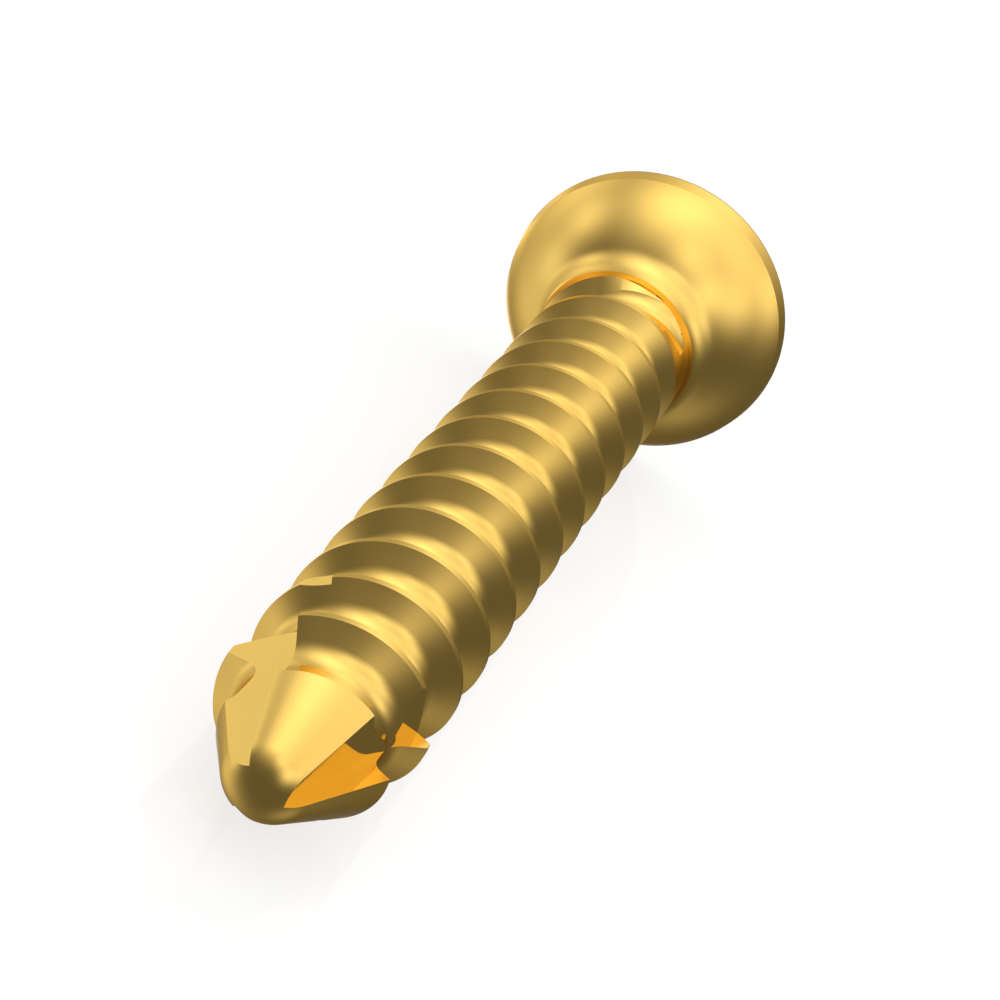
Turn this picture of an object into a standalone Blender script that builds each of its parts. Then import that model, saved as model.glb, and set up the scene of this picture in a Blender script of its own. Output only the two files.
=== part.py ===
"""Self-tapping cortical bone screw, 4.5 mm thread, 28 mm long, anodised titanium.

The screw is turned from one bar, so it is one solid. It is modelled about its own axis,
+Z from the tip to the head with the nose at zero, and then laid down as it rests on a
table: on the rim of its head and on the thread's crests at both sides of a flute.
Azimuths are measured about the screw's axis, counter-clockwise seen from the head.
"""

import math

import bmesh
import bpy
from mathutils import Matrix, Vector

MM = 0.001

# Thread: buttress form for cortical bone, right-handed.
MAJOR_RADIUS = 2.25 * MM
CORE_RADIUS = 1.50 * MM
PITCH = 1.75 * MM
CREST_LAND = 0.10 * MM
TIP_FLANK_ANGLE = math.radians(35.0)
THREAD_PHASE = 3.99 * MM
FLANK_FILLET = 0.30 * MM
FILLET_STEPS = 2
ROOT_STEPS = 5

# Tip: a cone with a ball nose.
NOSE_RADIUS = 1.08 * MM
TIP_HALF_ANGLE = math.radians(29.0)
NOSE_STEPS = 5

# Self-tapping flutes: an L-shaped notch, a sloping floor square to a radial cutting wall.
FLUTE_COUNT = 3
FLUTE_AZIMUTH = math.radians(-14.4)
FLUTE_NOSE_DEPTH = 0.552 * MM
FLUTE_SLOPE = math.radians(17.5)
FLUTE_LENGTH = 9.0 * MM
FLUTE_SIZE = 4.0 * MM

# Neck and head, from the flat top down: edge round, rim land, spherical seat, throat fillet,
# collar, and the cone that ends the thread.
OVERALL_LENGTH = 28.00 * MM
EDGE_ROUND = 0.24 * MM
RIM_LAND = 0.43 * MM
RIM_RADIUS = 4.29 * MM
RIM_FRONT_RADIUS = 4.16 * MM
SEAT_RADIUS = 5.20 * MM
THROAT_FILLET = 1.30 * MM
COLLAR_RADIUS = 2.32 * MM
HEAD_HEIGHT = 3.58 * MM
NECK_STEP = 0.08 * MM
RIM_BACK = OVERALL_LENGTH - EDGE_ROUND
RIM_FRONT = RIM_BACK - RIM_LAND
COLLAR_BASE = OVERALL_LENGTH - HEAD_HEIGHT
NECK_CONE_TOP = COLLAR_BASE - NECK_STEP
THROAT_STEPS = 4
SEAT_STEPS = 5
EDGE_STEPS = 3

# Drive: hexagon socket with a lead-in chamfer and a drill point.
SOCKET_ACROSS_FLATS = 3.50 * MM
SOCKET_DEPTH = 2.50 * MM
SOCKET_AZIMUTH = math.radians(15.0)
CHAMFER_RADIUS = 2.15 * MM
DRILL_RADIUS = 1.70 * MM
DRILL_HALF_ANGLE = math.radians(60.0)

# Rest: the azimuth that faces the table, in the mouth of a flute, and the climb of the axis.
DOWN_AZIMUTH = math.radians(85.1)
REST_TILT = math.radians(5.07)

SEGMENTS = 40
OVERRUN = 0.50 * MM
MERGE = 0.0005 * MM

ANODISED_GOLD = (0.80, 0.52, 0.15, 1.0)
ROUGHNESS = 0.22
METALLIC = 1.0


def clear_scene():
    """Remove every object that the file holds."""
    for item in list(bpy.data.objects):
        bpy.data.objects.remove(item, do_unlink=True)


def polar(radius, azimuth, height):
    """Return the point at a radius, an azimuth and a height."""
    return Vector((radius * math.cos(azimuth), radius * math.sin(azimuth), height))


def arc(centre, radius, start, end, steps):
    """Return the points of an arc in the plane of radius and height, its start left out."""
    points = []
    for step in range(1, steps + 1):
        angle = start + (end - start) * step / steps
        points.append((centre[0] + radius * math.cos(angle), centre[1] + radius * math.sin(angle)))
    return points


def thread_profile():
    """Return one pitch of the thread, from a crest down its flank and round the root to the next."""
    tangent = math.pi / 2.0 + TIP_FLANK_ANGLE
    drop = MAJOR_RADIUS - CORE_RADIUS - FLANK_FILLET * (1.0 + math.cos(tangent))
    flank_foot = -drop * math.tan(TIP_FLANK_ANGLE)
    bottom = flank_foot - FLANK_FILLET * math.sin(tangent)
    fillet_centre = (CORE_RADIUS + FLANK_FILLET, bottom)
    depth = MAJOR_RADIUS - CORE_RADIUS
    reach = PITCH - CREST_LAND + bottom
    root_radius = (reach ** 2 + depth ** 2) / (2.0 * depth)
    root_centre = (CORE_RADIUS + root_radius, bottom)
    end = 2.0 * math.pi + math.atan2(-reach, depth - root_radius)
    points = [(MAJOR_RADIUS, CREST_LAND), (MAJOR_RADIUS, 0.0)]
    points.append((MAJOR_RADIUS - drop, flank_foot))
    points += arc(fillet_centre, FLANK_FILLET, tangent, math.pi, FILLET_STEPS)
    points += arc(root_centre, root_radius, math.pi, end, ROOT_STEPS)
    return points


def spin_profile(bm, points, azimuth, turns, rise):
    """Sweep a profile about the axis, rising by the given height in each turn."""
    verts = [bm.verts.new(polar(radius, azimuth, height)) for radius, height in points]
    edges = [bm.edges.new(pair) for pair in zip(verts, verts[1:])]
    bmesh.ops.spin(bm, geom=verts + edges, cent=(0.0, 0.0, 0.0), axis=(0.0, 0.0, 1.0),
                   dvec=(0.0, 0.0, rise / SEGMENTS), angle=2.0 * math.pi * turns,
                   steps=SEGMENTS * turns, use_duplicate=False)
    bmesh.ops.remove_doubles(bm, verts=bm.verts, dist=MERGE)


def cap_at(bm, height, keep_above):
    """Cut the sweep square to the axis and close the cut with a face."""
    cut = bmesh.ops.bisect_plane(bm, geom=bm.verts[:] + bm.edges[:] + bm.faces[:], dist=MERGE,
                                 plane_co=(0.0, 0.0, height), plane_no=(0.0, 0.0, 1.0),
                                 clear_inner=keep_above, clear_outer=not keep_above)
    rim = [item for item in cut["geom_cut"] if isinstance(item, bmesh.types.BMEdge)]
    bmesh.ops.contextual_create(bm, geom=rim)


def mesh_object(name, bm, axis):
    """Turn the faces outward, make an object of the mesh and hang it on the screw's axis."""
    bmesh.ops.recalc_face_normals(bm, faces=bm.faces)
    mesh = bpy.data.meshes.new(name)
    bm.to_mesh(mesh)
    bm.free()
    item = bpy.data.objects.new(name, mesh)
    bpy.context.scene.collection.objects.link(item)
    item.parent = axis
    return item


def turned_object(name, points, axis):
    """Turn a closed body from a profile that starts and ends on the axis."""
    bm = bmesh.new()
    spin_profile(bm, points, DOWN_AZIMUTH + math.pi / SEGMENTS, 1, 0.0)
    return mesh_object(name, bm, axis)


def guide(item):
    """Mark a body that only shapes the screw."""
    item.hide_render = True
    item.display_type = 'WIRE'
    return item


def threaded_shaft(axis):
    """Sweep the thread along the whole shaft, past both ends of what stays of it."""
    bottom = -OVERRUN
    top = COLLAR_BASE + OVERRUN
    azimuth = DOWN_AZIMUTH + math.pi / SEGMENTS
    start = THREAD_PHASE + PITCH * azimuth / (2.0 * math.pi)
    turns_below = math.ceil((start - bottom) / PITCH) + 1
    turns = turns_below + math.ceil((top - start) / PITCH) + 2
    lowest = start - turns_below * PITCH
    bm = bmesh.new()
    points = [(radius, lowest + height) for radius, height in thread_profile()]
    spin_profile(bm, points, azimuth, turns, PITCH)
    cap_at(bm, bottom, True)
    cap_at(bm, top, False)
    return mesh_object("bone_screw", bm, axis)


def tip_envelope(axis):
    """The ball nose and the cone that the shaft is ground to, wide open above the thread."""
    height = NOSE_RADIUS
    points = [(0.0, 0.0)]
    points += arc((0.0, height), NOSE_RADIUS, -math.pi / 2.0, -TIP_HALF_ANGLE, NOSE_STEPS)
    cone_radius, cone_height = points[-1]
    wide = MAJOR_RADIUS + OVERRUN
    points.append((wide, cone_height + (wide - cone_radius) / math.tan(TIP_HALF_ANGLE)))
    points.append((wide, COLLAR_BASE + 2.0 * OVERRUN))
    points.append((0.0, COLLAR_BASE + 2.0 * OVERRUN))
    return guide(turned_object("tip_envelope", points, axis))


def flute_cutter(index, axis):
    """A block whose floor climbs from the nose outward and whose side is the cutting wall."""
    azimuth = FLUTE_AZIMUTH + index * 2.0 * math.pi / FLUTE_COUNT
    bm = bmesh.new()
    bmesh.ops.create_cube(bm, size=1.0)
    bmesh.ops.translate(bm, verts=bm.verts, vec=(0.5, -0.5, 0.0))
    bmesh.ops.scale(bm, verts=bm.verts, vec=(FLUTE_SIZE, FLUTE_SIZE, 2.0 * FLUTE_LENGTH))
    lean = Matrix.Rotation(FLUTE_SLOPE, 4, 'Y')
    place = Matrix.Translation((FLUTE_NOSE_DEPTH, 0.0, 0.0))
    turn = Matrix.Rotation(azimuth, 4, 'Z')
    bmesh.ops.transform(bm, matrix=turn @ place @ lean, verts=bm.verts)
    return guide(mesh_object("flute_cutter_%d" % (index + 1), bm, axis))


def throat_and_seat():
    """Return the collar's fillet and the spherical seat that it runs into."""
    seat_rise = math.sqrt(SEAT_RADIUS ** 2 - RIM_FRONT_RADIUS ** 2)
    seat_centre = RIM_FRONT + seat_rise
    throat_radius = COLLAR_RADIUS + THROAT_FILLET
    reach = SEAT_RADIUS + THROAT_FILLET
    throat_centre = seat_centre - math.sqrt(reach ** 2 - throat_radius ** 2)
    contact = math.atan2(throat_centre - seat_centre, throat_radius)
    points = [(COLLAR_RADIUS, throat_centre)]
    points += arc((throat_radius, throat_centre), THROAT_FILLET, math.pi, math.pi + contact, THROAT_STEPS)
    rim = math.atan2(-seat_rise, RIM_FRONT_RADIUS)
    points += arc((0.0, seat_centre), SEAT_RADIUS, contact, rim, SEAT_STEPS)
    return points


def head(axis):
    """The neck cone that ends the thread, the collar, the seat, the rim land and the top."""
    inner = CORE_RADIUS - 2.0 * CREST_LAND
    foot = NECK_CONE_TOP - (MAJOR_RADIUS - inner) * math.tan(TIP_FLANK_ANGLE)
    points = [(0.0, foot), (inner, foot), (MAJOR_RADIUS, NECK_CONE_TOP), (COLLAR_RADIUS, COLLAR_BASE)]
    points += throat_and_seat()
    points.append((RIM_RADIUS, RIM_BACK))
    points += arc((RIM_RADIUS - EDGE_ROUND, RIM_BACK), EDGE_ROUND, 0.0, math.pi / 2.0, EDGE_STEPS)
    points.append((0.0, OVERALL_LENGTH))
    return guide(turned_object("head", points, axis))


def socket_cutter(axis):
    """The hexagon that the driver fills."""
    bm = bmesh.new()
    corner = SOCKET_ACROSS_FLATS / math.sqrt(3.0)
    depth = SOCKET_DEPTH + OVERRUN
    bmesh.ops.create_cone(bm, cap_ends=True, segments=6, radius1=corner, radius2=corner, depth=depth)
    place = Matrix.Translation((0.0, 0.0, OVERALL_LENGTH - SOCKET_DEPTH + depth / 2.0))
    bmesh.ops.transform(bm, matrix=place @ Matrix.Rotation(SOCKET_AZIMUTH, 4, 'Z'), verts=bm.verts)
    return guide(mesh_object("socket_cutter", bm, axis))


def bore_cutter(axis):
    """The lead-in chamfer at the mouth of the socket and the drill point under its floor."""
    floor = OVERALL_LENGTH - SOCKET_DEPTH
    points = [(0.0, floor - DRILL_RADIUS / math.tan(DRILL_HALF_ANGLE)), (DRILL_RADIUS, floor)]
    points.append((DRILL_RADIUS, OVERALL_LENGTH - CHAMFER_RADIUS + DRILL_RADIUS))
    points.append((CHAMFER_RADIUS + OVERRUN, OVERALL_LENGTH + OVERRUN))
    points.append((0.0, OVERALL_LENGTH + OVERRUN))
    return guide(turned_object("bore_cutter", points, axis))


def combine(item, other, operation):
    """Join, cut or trim the screw with a guide body."""
    step = item.modifiers.new(other.name, 'BOOLEAN')
    step.operation = operation
    step.solver = 'EXACT'
    step.object = other


def anodised_titanium():
    """The screw's finish: gold-anodised titanium."""
    material = bpy.data.materials.new("gold_anodised_titanium")
    material.use_nodes = True
    shader = material.node_tree.nodes["Principled BSDF"]
    shader.inputs["Base Color"].default_value = ANODISED_GOLD
    shader.inputs["Roughness"].default_value = ROUGHNESS
    shader.inputs["Metallic"].default_value = METALLIC
    return material


def lowest_point(item):
    """Return the height of the finished body's lowest point."""
    bpy.context.view_layer.update()
    finished = item.evaluated_get(bpy.context.evaluated_depsgraph_get())
    mesh = finished.to_mesh()
    height = min((finished.matrix_world @ vertex.co).z for vertex in mesh.vertices)
    finished.to_mesh_clear()
    return height


def lay_down(screw, axis):
    """Rest the screw on its rim and on the crests beside a flute, its middle over the origin."""
    nose_end = NOSE_RADIUS * (math.cos(REST_TILT) - 1.0)
    head_end = RIM_BACK * math.cos(REST_TILT) + (RIM_RADIUS - EDGE_ROUND) * math.sin(REST_TILT)
    middle = (nose_end + head_end + EDGE_ROUND) / 2.0
    roll = Matrix.Rotation(-DOWN_AZIMUTH, 4, 'Z')
    to_side = Matrix.Rotation(math.pi / 2.0 - REST_TILT, 4, 'Y')
    axis.matrix_world = Matrix.Translation((-middle, 0.0, 0.0)) @ to_side @ roll
    axis.location.z -= lowest_point(screw)


def build():
    """Model the screw and lay it down."""
    clear_scene()
    axis = bpy.data.objects.new("screw_axis", None)
    bpy.context.scene.collection.objects.link(axis)
    screw = threaded_shaft(axis)
    combine(screw, tip_envelope(axis), 'INTERSECT')
    for index in range(FLUTE_COUNT):
        combine(screw, flute_cutter(index, axis), 'DIFFERENCE')
    combine(screw, head(axis), 'UNION')
    combine(screw, socket_cutter(axis), 'DIFFERENCE')
    combine(screw, bore_cutter(axis), 'DIFFERENCE')
    screw.data.materials.append(anodised_titanium())
    screw.data.shade_smooth()
    screw.data.set_sharp_from_angle(angle=math.radians(25.0))
    lay_down(screw, axis)


build()
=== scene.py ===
"""Self-tapping cortical bone screw in gold-anodised titanium, on its fixed frame.

The screw is modelled about its own axis in millimetres: +Z from the tip to the head, the nose at
zero, azimuths counter-clockwise seen from the head. It is then brought to metres and laid down.
"""
import logging
import math
from contextlib import contextmanager
from dataclasses import dataclass, field
from enum import Enum
from typing import Any, Iterator

import bpy
from mathutils import Matrix, Vector


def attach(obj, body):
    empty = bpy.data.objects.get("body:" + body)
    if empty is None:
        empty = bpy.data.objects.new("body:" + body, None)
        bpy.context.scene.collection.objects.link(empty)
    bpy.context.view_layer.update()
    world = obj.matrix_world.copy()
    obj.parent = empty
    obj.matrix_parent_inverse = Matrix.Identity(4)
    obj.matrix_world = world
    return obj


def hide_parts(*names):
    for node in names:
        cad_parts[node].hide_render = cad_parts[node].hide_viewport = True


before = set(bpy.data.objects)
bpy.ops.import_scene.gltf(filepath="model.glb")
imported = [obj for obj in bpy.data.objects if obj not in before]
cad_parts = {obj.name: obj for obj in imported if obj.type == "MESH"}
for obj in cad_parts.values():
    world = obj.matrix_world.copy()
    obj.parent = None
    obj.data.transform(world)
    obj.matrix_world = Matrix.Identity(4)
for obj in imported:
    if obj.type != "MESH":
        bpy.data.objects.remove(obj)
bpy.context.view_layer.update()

MM = 0.001
TURN = 2.0 * math.pi
WELD = 0.0005
CENTRE = (0.0, 0.0, 0.0)
WHITE = (1.0, 1.0, 1.0, 1.0)
LOG = logging.getLogger("bone_screw")
Profile = list[tuple[float, float]]


class Joinery(Enum):
    """The ways one body shapes another."""

    JOIN = 'UNION'
    CUT = 'DIFFERENCE'
    TRIM = 'INTERSECT'


class Keep(Enum):
    """The side of a square cut that stays."""

    ABOVE = "above"
    BELOW = "below"


# Bench work.


def deselect_all() -> None:
    """Leave nothing selected, the frame's own nodes included."""
    for item in bpy.context.selected_objects:
        item.select_set(False)


def take_up(item: bpy.types.Object) -> None:
    """Make one object the only one selected and the active one.

    Args:
        item: The object to work on.
    """
    deselect_all()
    item.select_set(True)
    bpy.context.view_layer.objects.active = item


@contextmanager
def edited(item: bpy.types.Object) -> Iterator[None]:
    """Hold an object in edit mode with all of its mesh selected.

    Args:
        item: The object to work on.
    """
    take_up(item)
    bpy.ops.object.mode_set(mode='EDIT')
    bpy.ops.mesh.select_all(action='SELECT')
    yield
    bpy.ops.object.mode_set(mode='OBJECT')


def apply_modifier(item: bpy.types.Object, kind: str, **settings: Any) -> None:
    """Add a modifier with its settings and apply it.

    Args:
        item: The object to change.
        kind: Blender's name for the modifier.
        settings: The modifier's own settings.
    """
    take_up(item)
    bpy.ops.object.modifier_add(type=kind)
    step = item.modifiers[-1]
    for name, value in settings.items():
        setattr(step, name, value)
    bpy.ops.object.modifier_apply(modifier=step.name)


def arc(centre: tuple[float, float], radius: float, start: float, end: float, steps: int) -> Profile:
    """Find the points of an arc, its start left out.

    Args:
        centre: The arc's centre, as radius and height.
        radius: The arc's radius.
        start: The angle that it starts at.
        end: The angle that it ends at.
        steps: How many straight steps it has.

    Returns:
        The points as radius and height.
    """
    angles = [start + (end - start) * step / steps for step in range(1, steps + 1)]
    return [(centre[0] + radius * math.cos(a), centre[1] + radius * math.sin(a)) for a in angles]


def draw_profile(name: str, points: Profile) -> bpy.types.Object:
    """Draw a line of edges beside the axis, as a turner's template.

    Args:
        name: The object's name.
        points: The corners as radius and height.

    Returns:
        The object that holds the line.
    """
    deselect_all()
    bpy.ops.mesh.primitive_plane_add(size=1.0)
    item = bpy.context.active_object
    item.name = name
    with edited(item):
        bpy.ops.mesh.merge(type='CENTER')
        bpy.ops.transform.translate(value=(points[0][0], 0.0, points[0][1]))
        for before, after in zip(points, points[1:]):
            step = (after[0] - before[0], 0.0, after[1] - before[1])
            bpy.ops.mesh.extrude_region_move(TRANSFORM_OT_translate={"value": step})
    return item


def face_outward(item: bpy.types.Object, merge: float = WELD) -> None:
    """Close the seams and turn every face outward.

    Args:
        item: The object to close.
        merge: How near two corners lie to become one, in millimetres.
    """
    with edited(item):
        bpy.ops.mesh.remove_doubles(threshold=merge)
        bpy.ops.mesh.normals_make_consistent(inside=False)


def turned(name: str, points: Profile, facets: int) -> bpy.types.Object:
    """Turn a closed body from a profile that starts and ends on the axis.

    Args:
        name: The object's name.
        points: The profile as radius and height.
        facets: How many flats go round it.

    Returns:
        The turned body.
    """
    item = draw_profile(name, points)
    apply_modifier(item, 'SCREW', axis='Z', angle=TURN, screw_offset=0.0, iterations=1, steps=facets,
                   render_steps=facets, use_merge_vertices=True, merge_threshold=WELD)
    face_outward(item)
    return item


def shaped(item: bpy.types.Object, other: bpy.types.Object, way: Joinery) -> None:
    """Join, cut or trim a body with another, which is used up.

    Args:
        item: The body that stays.
        other: The body that shapes it.
        way: How it shapes it.
    """
    apply_modifier(item, 'BOOLEAN', operation=way.value, solver='MANIFOLD', object=other)
    bpy.data.objects.remove(other, do_unlink=True)


# The screw's parts.


@dataclass(frozen=True)
class ButtressThread:
    """The right-handed cortical bone thread, one pitch of its section."""

    major_radius: float = 2.25
    core_radius: float = 1.545
    pitch: float = 1.75
    crest_land: float = 0.17
    tip_flank: float = math.radians(35.0)
    head_flank: float = math.radians(22.0)
    root_radius: float = 0.68
    head_fillet: float = 0.30
    phase: float = 3.99
    root_steps: int = 10
    fillet_steps: int = 10

    def profile(self) -> Profile:
        """Draw one pitch, from a crest down its flank and round the root to the next crest.

        Returns:
            The points as radius and height.
        """
        next_crest = self.crest_land - self.pitch
        tip_tangent = math.pi / 2.0 + self.tip_flank
        tip_foot = self.core_radius + self.root_radius * (1.0 + math.cos(tip_tangent))
        tip_drop = -(self.major_radius - tip_foot) * math.tan(self.tip_flank)
        tip_height = tip_drop - self.root_radius * math.sin(tip_tangent)
        head_tangent = 1.5 * math.pi - self.head_flank
        head_foot = self.core_radius + self.head_fillet * (1.0 - math.sin(self.head_flank))
        head_drop = next_crest + (self.major_radius - head_foot) * math.tan(self.head_flank)
        head_height = head_drop + self.head_fillet * math.cos(self.head_flank)
        tip_centre = (self.core_radius + self.root_radius, tip_height)
        head_centre = (self.core_radius + self.head_fillet, head_height)
        points = [(self.major_radius, self.crest_land), (self.major_radius, 0.0), (tip_foot, tip_drop)]
        points += arc(tip_centre, self.root_radius, tip_tangent, math.pi, self.root_steps)
        points.append((self.core_radius, head_height))
        points += arc(head_centre, self.head_fillet, math.pi, head_tangent, self.fillet_steps)
        points.append((self.major_radius, next_crest))
        return points


@dataclass(frozen=True)
class ThreadedShank:
    """The shank, threaded from below the nose to the neck, where the groove runs out to the surface.

    The last full turn and the run-out are counted in turns from the thread's phase.
    """

    thread: ButtressThread = field(default_factory=ButtressThread)
    bottom: float = -0.50
    top: float = 24.44
    last_turn: float = 11.625
    run_out: float = 0.25
    crest_margin: float = 0.00001
    facets: int = 120

    def build(self) -> bpy.types.Object:
        """Sweep the section up the helix, and cut and close both ends square.

        Returns:
            The threaded shank.
        """
        pitch = self.thread.pitch
        below = math.ceil((self.thread.phase - self.bottom) / pitch) + 1
        turns = below + math.ceil((self.top - self.thread.phase) / pitch) + 1
        foot = self.thread.phase - below * pitch
        item = draw_profile("threaded_shank", [(r, foot + z) for r, z in self.thread.profile()])
        apply_modifier(item, 'SCREW', axis='Z', angle=TURN, screw_offset=pitch, iterations=turns,
                       steps=self.facets, render_steps=self.facets, use_merge_vertices=False)
        face_outward(item)
        self.lift_groove(item)
        self.square_off(item, self.bottom, Keep.ABOVE)
        self.square_off(item, self.top, Keep.BELOW)
        face_outward(item)
        return item

    def lift_groove(self, item: bpy.types.Object) -> None:
        """Raise the groove to the surface over its last quarter turn, so the crest widens to the neck.

        Args:
            item: The swept shank.
        """
        depth = self.thread.major_radius - self.thread.core_radius
        for vertex in item.data.vertices:
            radius = vertex.co.xy.length
            around = math.atan2(vertex.co.y, vertex.co.x) / TURN
            rise = (vertex.co.z - self.thread.phase - self.thread.crest_land) / self.thread.pitch
            turn = around + math.ceil(rise - around - self.crest_margin)
            share = min(1.0, max(0.0, (turn - self.last_turn) / self.run_out))
            raised = min(self.thread.major_radius, radius + share * depth)
            vertex.co.xy *= raised / radius

    @staticmethod
    def square_off(item: bpy.types.Object, height: float, keep: Keep) -> None:
        """Cut the shank square to its axis and close the cut.

        Args:
            item: The shank.
            height: Where the cut lies.
            keep: The side that stays.
        """
        with edited(item):
            bpy.ops.mesh.bisect(plane_co=(0.0, 0.0, height), plane_no=(0.0, 0.0, 1.0), use_fill=True,
                                clear_inner=keep is Keep.ABOVE, clear_outer=keep is Keep.BELOW)


@dataclass(frozen=True)
class SelfTappingTip:
    """The cone with its ball nose, and the three flutes that cut the bone."""

    nose_radius: float = 1.08
    half_angle: float = math.radians(29.0)
    flutes: int = 3
    azimuth: float = math.radians(-14.4)
    depth_at_nose: float = 0.552
    slope: float = math.radians(17.5)
    reach: float = 9.0
    width: float = 4.0
    nose_steps: int = 16

    def envelope(self, radius: float, top: float, facets: int) -> bpy.types.Object:
        """Turn the body that the shank is ground to.

        Args:
            radius: How wide it is above the cone.
            top: How high it reaches.
            facets: How many flats go round it.

        Returns:
            The envelope.
        """
        centre = (0.0, self.nose_radius)
        points = [(0.0, 0.0)]
        points += arc(centre, self.nose_radius, -math.pi / 2.0, -self.half_angle, self.nose_steps)
        edge, height = points[-1]
        points.append((radius, height + (radius - edge) / math.tan(self.half_angle)))
        points += [(radius, top), (0.0, top)]
        return turned("tip_envelope", points, facets)

    def flute(self, index: int) -> bpy.types.Object:
        """Make the block that mills one flute: a climbing floor square to a radial cutting wall.

        Args:
            index: Which flute it is.

        Returns:
            The block.
        """
        deselect_all()
        bpy.ops.mesh.primitive_cube_add(size=1.0, location=CENTRE)
        item = bpy.context.active_object
        item.name = "flute_%d" % index
        centre = {"center_override": CENTRE}
        azimuth = self.azimuth + index * TURN / self.flutes
        with edited(item):
            bpy.ops.transform.translate(value=(0.5, -0.5, 0.0))
            bpy.ops.transform.resize(value=(self.width, self.width, 2.0 * self.reach), **centre)
            bpy.ops.transform.rotate(value=-self.slope, orient_axis='Y', **centre)
            bpy.ops.transform.translate(value=(self.depth_at_nose, 0.0, 0.0))
            bpy.ops.transform.rotate(value=-azimuth, orient_axis='Z', **centre)
        return item


@dataclass(frozen=True)
class ScrewHead:
    """The short neck, throat, spherical seat, rim land and flat top."""

    length: float = 28.00
    edge_round: float = 0.24
    rim_land: float = 0.43
    rim_radius: float = 4.29
    rim_front_radius: float = 4.20
    throat_fillet: float = 1.20
    neck_radius: float = 2.251
    neck: float = 24.40
    throat: float = 24.55
    throat_steps: int = 20
    seat_steps: int = 20
    edge_steps: int = 12

    def seat_radius(self, rim_front: float, throat_radius: float) -> float:
        """Find the sphere that runs from the throat's fillet to the rim.

        Args:
            rim_front: The height of the rim's front edge.
            throat_radius: How far the fillet's centre lies from the axis.

        Returns:
            The sphere's radius.
        """
        height = rim_front - self.throat
        share = self.throat_fillet / height
        rest = self.rim_front_radius ** 2 + self.throat_fillet ** 2 - throat_radius ** 2 - height ** 2
        shift = rest / (2.0 * height)
        root = math.sqrt((1.0 - share ** 2) * self.rim_front_radius ** 2 + shift ** 2)
        return (share * shift + root) / (1.0 - share ** 2)

    def profile(self) -> Profile:
        """Draw the head from the foot of its neck to the middle of its top.

        Returns:
            The points as radius and height.
        """
        rim_back = self.length - self.edge_round
        rim_front = rim_back - self.rim_land
        throat_radius = self.neck_radius + self.throat_fillet
        seat_radius = self.seat_radius(rim_front, throat_radius)
        rise = math.sqrt(seat_radius ** 2 - self.rim_front_radius ** 2)
        seat = rim_front + rise
        contact = math.atan2(self.throat - seat, throat_radius)
        outer = math.atan2(-rise, self.rim_front_radius)
        throat_centre = (throat_radius, self.throat)
        edge_centre = (self.rim_radius - self.edge_round, rim_back)
        points = [(0.0, self.neck), (self.neck_radius, self.neck), (self.neck_radius, self.throat)]
        points += arc(throat_centre, self.throat_fillet, math.pi, math.pi + contact, self.throat_steps)
        points += arc((0.0, seat), seat_radius, contact, outer, self.seat_steps)
        points.append((self.rim_radius, rim_back))
        points += arc(edge_centre, self.edge_round, 0.0, math.pi / 2.0, self.edge_steps)
        points.append((0.0, self.length))
        return points

    def build(self, facets: int) -> bpy.types.Object:
        """Turn the head.

        Args:
            facets: How many flats go round it.

        Returns:
            The head.
        """
        return turned("head", self.profile(), facets)


@dataclass(frozen=True)
class HexagonSocket:
    """The driver's socket, with its lead-in chamfer and the drill point under its floor."""

    across_flats: float = 3.50
    depth: float = 2.50
    azimuth: float = math.radians(15.0)
    chamfer_radius: float = 2.15
    drill_radius: float = 1.70
    drill_half_angle: float = math.radians(60.0)
    overrun: float = 0.50

    def hexagon(self, top: float) -> bpy.types.Object:
        """Make the broach that cuts the six flats.

        Args:
            top: The height of the head's top.

        Returns:
            The broach.
        """
        deselect_all()
        corner = self.across_flats / math.sqrt(3.0)
        depth = self.depth + self.overrun
        bpy.ops.mesh.primitive_cylinder_add(vertices=6, radius=corner, depth=depth, location=CENTRE)
        item = bpy.context.active_object
        item.name = "hexagon"
        with edited(item):
            bpy.ops.transform.rotate(value=-self.azimuth - math.pi / 6.0, orient_axis='Z',
                                     center_override=CENTRE)
            bpy.ops.transform.translate(value=(0.0, 0.0, top - self.depth + depth / 2.0))
        return item

    def bore(self, top: float, facets: int) -> bpy.types.Object:
        """Turn the drill that leaves the point below and the chamfer above.

        Args:
            top: The height of the head's top.
            facets: How many flats go round it.

        Returns:
            The drill.
        """
        floor = top - self.depth
        point = floor - self.drill_radius / math.tan(self.drill_half_angle)
        wide = self.chamfer_radius + self.overrun
        points = [(0.0, point), (self.drill_radius, floor)]
        points.append((self.drill_radius, top - self.chamfer_radius + self.drill_radius))
        points += [(wide, top + self.overrun), (0.0, top + self.overrun)]
        return turned("bore", points, facets)


@dataclass(frozen=True)
class Rest:
    """How the screw lies: on its rim and on the crests at both sides of a flute."""

    nose: tuple[float, float, float] = (-14.1225, 0.0, 1.8172)
    climb: float = math.radians(5.07)
    down_azimuth: float = math.radians(85.1)

    def matrix(self) -> Matrix:
        """Find the place of the screw's own frame on the table.

        Returns:
            The matrix from the screw's millimetres to the table's millimetres.
        """
        to_side = Matrix.Rotation(math.pi / 2.0 - self.climb, 4, 'Y')
        return Matrix.Translation(self.nose) @ to_side @ Matrix.Rotation(-self.down_azimuth, 4, 'Z')


# Finishes.


def linear(hexadecimal: str) -> tuple[float, float, float, float]:
    """Turn an sRGB colour to linear light.

    Args:
        hexadecimal: The colour as six hexadecimal digits.

    Returns:
        The linear colour with full alpha.
    """
    parts = [int(hexadecimal[i:i + 2], 16) / 255.0 for i in (0, 2, 4)]
    red, green, blue = [p / 12.92 if p <= 0.04045 else ((p + 0.055) / 1.055) ** 2.4 for p in parts]
    return red, green, blue, 1.0


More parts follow.
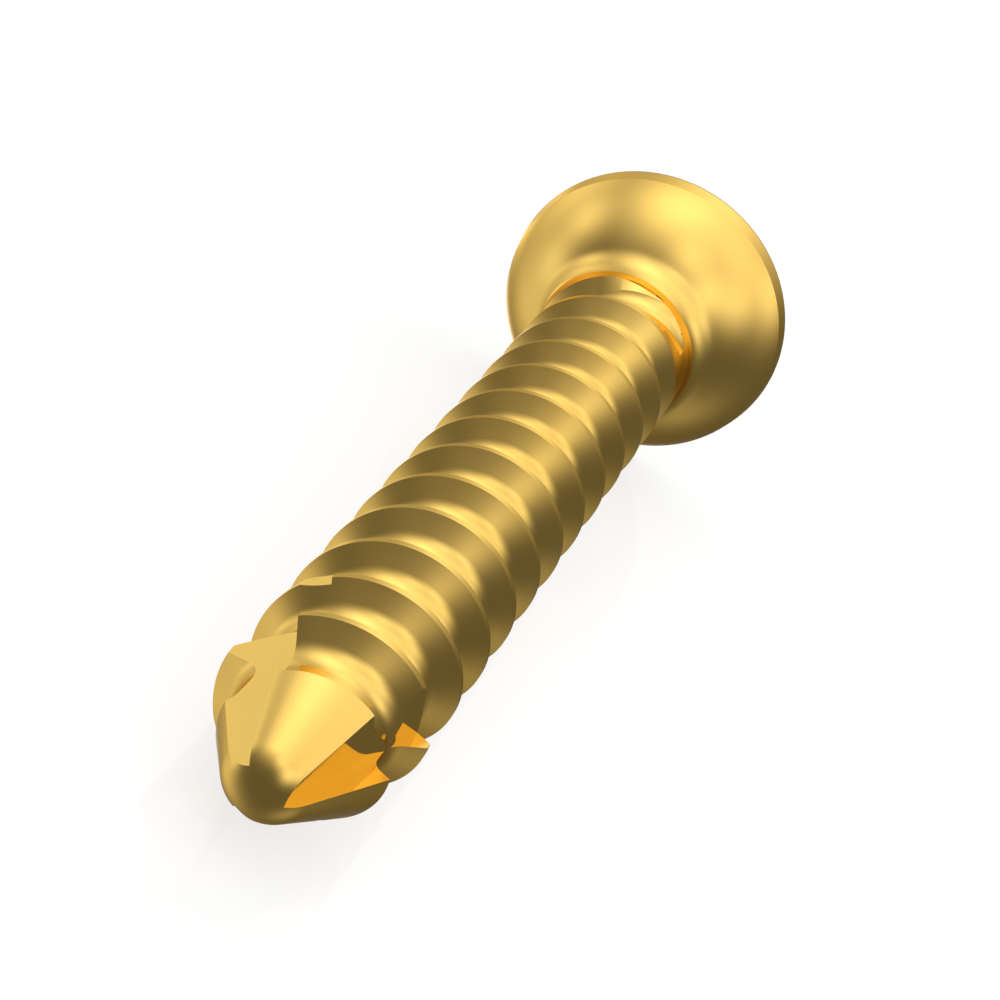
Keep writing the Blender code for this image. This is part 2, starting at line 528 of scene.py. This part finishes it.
def add_node(tree: bpy.types.NodeTree, kind: str, inputs: dict[Any, Any] | None = None,
             **settings: Any) -> bpy.types.Node:
    """Add a node with its settings, values and links.

    Args:
        tree: The node tree.
        kind: Blender's name for the node.
        inputs: Values or output sockets by input name or number.
        settings: The node's own settings.

    Returns:
        The node.
    """
    node = tree.nodes.new(kind)
    for name, value in settings.items():
        setattr(node, name, value)
    for key, value in (inputs or {}).items():
        if isinstance(value, bpy.types.NodeSocket):
            tree.links.new(value, node.inputs[key])
        else:
            node.inputs[key].default_value = value
    return node


def bare_tree(material: bpy.types.Material) -> bpy.types.NodeTree:
    """Give a material an empty node tree.

    Args:
        material: The material.

    Returns:
        Its tree.
    """
    material.use_nodes = True
    material.node_tree.nodes.clear()
    return material.node_tree


@dataclass(frozen=True)
class GoldAnodisedTitanium:
    """Titanium alloy, turned and polished, then anodised to gold: a clear warm metal.

    The oxide film's thickness gives the gold, so it drifts a little from place to place, and the
    lathe leaves faint rings. Seen along its surface the film stays warm, not white.
    """

    gold: str = "FAD374"
    deeper: str = "F3C664"
    edge: str = "FCEBC4"
    roughness: float = 0.10
    roughness_drift: float = 0.03
    ring_strength: float = 0.04
    ring_depth: float = 0.01 * MM
    ring_spacing: float = 0.06 * MM
    drift_size: float = 3.0 * MM
    noise_detail: float = 2.0
    noise_low: float = 0.3
    noise_high: float = 0.7

    def material(self, rest: Rest) -> bpy.types.Material:
        """Mix the finish.

        Args:
            rest: How the screw lies, so that the rings follow its own axis.

        Returns:
            The material.
        """
        material = bpy.data.materials.new("gold-anodised titanium")
        tree = bare_tree(material)
        place = rest.matrix()
        coords = add_node(tree, "ShaderNodeTexCoord")
        own = add_node(tree, "ShaderNodeMapping", {
            "Vector": coords.outputs["Object"],
            "Location": Vector(rest.nose) * MM,
            "Rotation": place.to_euler('XYZ'),
        }, vector_type='TEXTURE')
        split = add_node(tree, "ShaderNodeSeparateXYZ", {0: own.outputs[0]})
        across, aside, along = split.outputs
        square_x = add_node(tree, "ShaderNodeMath", {0: across, 1: across}, operation='MULTIPLY')
        square = add_node(tree, "ShaderNodeMath", {
            0: aside, 1: aside, 2: square_x.outputs[0]}, operation='MULTIPLY_ADD')
        radius = add_node(tree, "ShaderNodeMath", {0: square.outputs[0]}, operation='SQRT')
        section = add_node(tree, "ShaderNodeCombineXYZ", {0: radius.outputs[0], 1: along})
        # Faint lathe rings, as noise over the screw's own section, coarser than the real ones.
        rings = add_node(tree, "ShaderNodeTexNoise", {
            "Vector": section.outputs[0], "Scale": 1.0 / self.ring_spacing, "Detail": self.noise_detail})
        # The film's slow drift in thickness.
        drift = add_node(tree, "ShaderNodeTexNoise", {
            "Vector": own.outputs[0], "Scale": 1.0 / self.drift_size, "Detail": self.noise_detail})
        tone = add_node(tree, "ShaderNodeMix", {
            0: drift.outputs[0], 6: linear(self.gold), 7: linear(self.deeper)}, data_type='RGBA')
        gloss = add_node(tree, "ShaderNodeMapRange", {
            "Value": rings.outputs[0], "From Min": self.noise_low, "From Max": self.noise_high,
            "To Min": self.roughness - self.roughness_drift,
            "To Max": self.roughness + self.roughness_drift})
        relief = add_node(tree, "ShaderNodeBump", {
            "Height": rings.outputs[0], "Strength": self.ring_strength, "Distance": self.ring_depth})
        shader = add_node(tree, "ShaderNodeBsdfPrincipled", {
            "Base Color": tone.outputs[2], "Metallic": 1.0, "Roughness": gloss.outputs[0],
            "Specular Tint": linear(self.edge), "Normal": relief.outputs[0]})
        add_node(tree, "ShaderNodeOutputMaterial", {0: shader.outputs[0]})
        return material


@dataclass(frozen=True)
class WhiteTable:
    """A smooth white table that shows as plain white, with the screw's shadow and a faint gloss."""

    size: float = 2.0
    glow: float = 0.78
    paint: float = 0.30
    gloss: float = 0.05
    gloss_roughness: float = 0.02

    def material(self) -> bpy.types.Material:
        """Mix the table's paint.

        Returns:
            The material.
        """
        material = bpy.data.materials.new("white lacquer")
        tree = bare_tree(material)
        path = add_node(tree, "ShaderNodeLightPath")
        shown = add_node(tree, "ShaderNodeMath", {
            0: path.outputs["Is Camera Ray"], 1: path.outputs["Is Transmission Ray"]}, operation='MAXIMUM')
        grey = (self.paint, self.paint, self.paint, 1.0)
        paint = add_node(tree, "ShaderNodeBsdfDiffuse", {"Color": grey})
        glow = add_node(tree, "ShaderNodeEmission", {"Color": WHITE, "Strength": self.glow})
        lit = add_node(tree, "ShaderNodeAddShader", {0: paint.outputs[0], 1: glow.outputs[0]})
        mirror = add_node(tree, "ShaderNodeBsdfGlossy", {"Roughness": self.gloss_roughness})
        lacquer = add_node(tree, "ShaderNodeMixShader", {
            0: self.gloss, 1: lit.outputs[0], 2: mirror.outputs[0]})
        seen = add_node(tree, "ShaderNodeMixShader", {
            0: shown.outputs[0], 1: paint.outputs[0], 2: lacquer.outputs[0]})
        add_node(tree, "ShaderNodeOutputMaterial", {0: seen.outputs[0]})
        return material

    def build(self) -> bpy.types.Object:
        """Lay the table's top under the screw.

        Returns:
            The table's top.
        """
        deselect_all()
        bpy.ops.mesh.primitive_plane_add(size=self.size, location=CENTRE)
        item = bpy.context.active_object
        item.name = "table_top"
        item.data.materials.append(self.material())
        item.visible_glossy = False
        item.visible_shadow = False
        return item


@dataclass(frozen=True)
class SoftLight:
    """One soft panel of the studio, as the direction it shines from, its level and its spread."""

    azimuth: float
    elevation: float
    level: float
    sharpness: float

    def direction(self) -> Vector:
        """Point from the screw towards the panel."""
        rise = math.radians(self.elevation)
        turn = math.radians(self.azimuth)
        flat = math.cos(rise)
        return Vector((flat * math.cos(turn), flat * math.sin(turn), math.sin(rise)))


@dataclass(frozen=True)
class Studio:
    """The studio's light: soft panels round the table in a dim surround, and white behind the screw."""

    dim: float = 0.129
    panels: tuple[SoftLight, ...] = (
        SoftLight(100.4, 71.9, 1.383, 6.95),
        SoftLight(100.5, -14.4, 0.547, 24.73),
        SoftLight(-139.2, 33.9, 0.895, 22.41),
        SoftLight(-108.1, 29.1, 0.579, 27.58),
        SoftLight(-3.8, 45.5, 1.058, 8.80),
        SoftLight(-167.1, 54.9, 0.624, 27.99),
        SoftLight(-89.2, -47.9, 0.216, 17.63),
        SoftLight(94.7, 16.3, 0.694, 26.62),
        SoftLight(60.3, 9.6, 0.806, 11.78),
        SoftLight(-69.8, 26.9, 0.808, 21.88),
        SoftLight(79.8, -43.7, 0.601, 6.19),
        SoftLight(-91.6, 57.3, 0.846, 8.56),
        SoftLight(13.4, -25.2, 1.301, 44.50),
        SoftLight(39.5, -14.6, 1.238, 66.69),
    )

    def build(self) -> None:
        """Light the world: white behind the screw, the panels for everything that they fall on."""
        world = bpy.data.worlds.new("studio")
        bpy.context.scene.world = world
        world.use_nodes = True
        tree = world.node_tree
        tree.nodes.clear()
        coords = add_node(tree, "ShaderNodeTexCoord")
        level: Any = self.dim
        for panel in self.panels:
            facing = add_node(tree, "ShaderNodeVectorMath", {
                0: coords.outputs["Generated"], 1: panel.direction()}, operation='DOT_PRODUCT')
            spread = {0: facing.outputs["Value"], 1: panel.sharpness, 2: -panel.sharpness}
            fall = add_node(tree, "ShaderNodeMath", spread, operation='MULTIPLY_ADD')
            soft = add_node(tree, "ShaderNodeMath", {0: fall.outputs[0]}, operation='EXPONENT')
            level = add_node(tree, "ShaderNodeMath", {
                0: soft.outputs[0], 1: panel.level, 2: level}, operation='MULTIPLY_ADD').outputs[0]
        panels = add_node(tree, "ShaderNodeBackground", {"Color": WHITE, "Strength": level})
        white = add_node(tree, "ShaderNodeBackground", {"Color": WHITE, "Strength": 1.0})
        path = add_node(tree, "ShaderNodeLightPath")
        shown = add_node(tree, "ShaderNodeMath", {
            0: path.outputs["Is Camera Ray"], 1: path.outputs["Is Transmission Ray"]}, operation='MAXIMUM')
        mixed = add_node(tree, "ShaderNodeMixShader", {
            0: shown.outputs[0], 1: panels.outputs[0], 2: white.outputs[0]})
        add_node(tree, "ShaderNodeOutputWorld", {0: mixed.outputs[0]})


@dataclass(frozen=True)
class PhotoCamera:
    """The photograph's viewpoint, in the screw's own frame and in millimetres, its clips in metres."""

    eye: tuple[float, float, float] = (0.1619, -28.8772, -32.6076)
    forward: tuple[float, float, float] = (0.0, 0.524709, 0.851282)
    up: tuple[float, float, float] = (-0.622599, -0.666163, 0.410607)
    lens: float = 80.22
    sensor: float = 36.0
    near: float = 0.001
    far: float = 10.0

    def build(self, rest: Rest) -> bpy.types.Object:
        """Set up the camera over the lying screw.

        Args:
            rest: How the screw lies.

        Returns:
            The camera.
        """
        forward, up = Vector(self.forward), Vector(self.up)
        axes = Matrix((forward.cross(up), up, -forward)).transposed().to_4x4()
        place = rest.matrix() @ Matrix.Translation(self.eye) @ axes
        place.translation *= MM
        lens = bpy.data.cameras.new("photo_camera")
        lens.sensor_width = self.sensor
        lens.lens = self.lens
        lens.clip_start = self.near
        lens.clip_end = self.far
        camera = bpy.data.objects.new("photo_camera", lens)
        bpy.context.scene.collection.objects.link(camera)
        camera.matrix_world = place
        bpy.context.scene.camera = camera
        return camera


@dataclass(frozen=True)
class BoneScrew:
    """The whole screw, one solid from its parts."""

    shank: ThreadedShank = field(default_factory=ThreadedShank)
    tip: SelfTappingTip = field(default_factory=SelfTappingTip)
    head: ScrewHead = field(default_factory=ScrewHead)
    socket: HexagonSocket = field(default_factory=HexagonSocket)
    rest: Rest = field(default_factory=Rest)
    finish: GoldAnodisedTitanium = field(default_factory=GoldAnodisedTitanium)
    clearance: float = 0.5
    fine_weld: float = 0.0002
    smooth_below: float = math.radians(9.5)

    def build(self) -> bpy.types.Object:
        """Shape the screw, lay it down and dress it.

        Returns:
            The finished screw.
        """
        facets = self.shank.facets
        item = self.shank.build()
        wide = self.shank.thread.major_radius + self.clearance
        high = self.shank.top + self.clearance
        shaped(item, self.tip.envelope(wide, high, facets), Joinery.TRIM)
        for index in range(self.tip.flutes):
            shaped(item, self.tip.flute(index), Joinery.CUT)
        shaped(item, self.head.build(facets), Joinery.JOIN)
        shaped(item, self.socket.hexagon(self.head.length), Joinery.CUT)
        shaped(item, self.socket.bore(self.head.length, facets), Joinery.CUT)
        face_outward(item, self.fine_weld)
        item.name = "screw_body"
        item.matrix_world = Matrix.Scale(MM, 4) @ self.rest.matrix()
        take_up(item)
        bpy.ops.object.transform_apply(location=True, rotation=True, scale=True)
        bpy.ops.object.shade_smooth_by_angle(angle=self.smooth_below)
        item.data.materials.clear()
        item.data.materials.append(self.finish.material(self.rest))
        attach(item, "root")
        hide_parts("bone_screw")
        return item


def main() -> None:
    """Build the screw, its table, its light and its camera."""
    logging.basicConfig(level=logging.INFO, format="%(name)s: %(message)s")
    bpy.context.scene.view_settings.view_transform = 'Standard'
    screw = BoneScrew()
    body = screw.build()
    LOG.info("%s: %d faces", body.name, len(body.data.polygons))
    table = WhiteTable().build()
    LOG.info("%s", table.name)
    Studio().build()
    LOG.info("studio")
    camera = PhotoCamera().build(screw.rest)
    LOG.info("%s", camera.name)


if __name__ == "__main__":
    main()
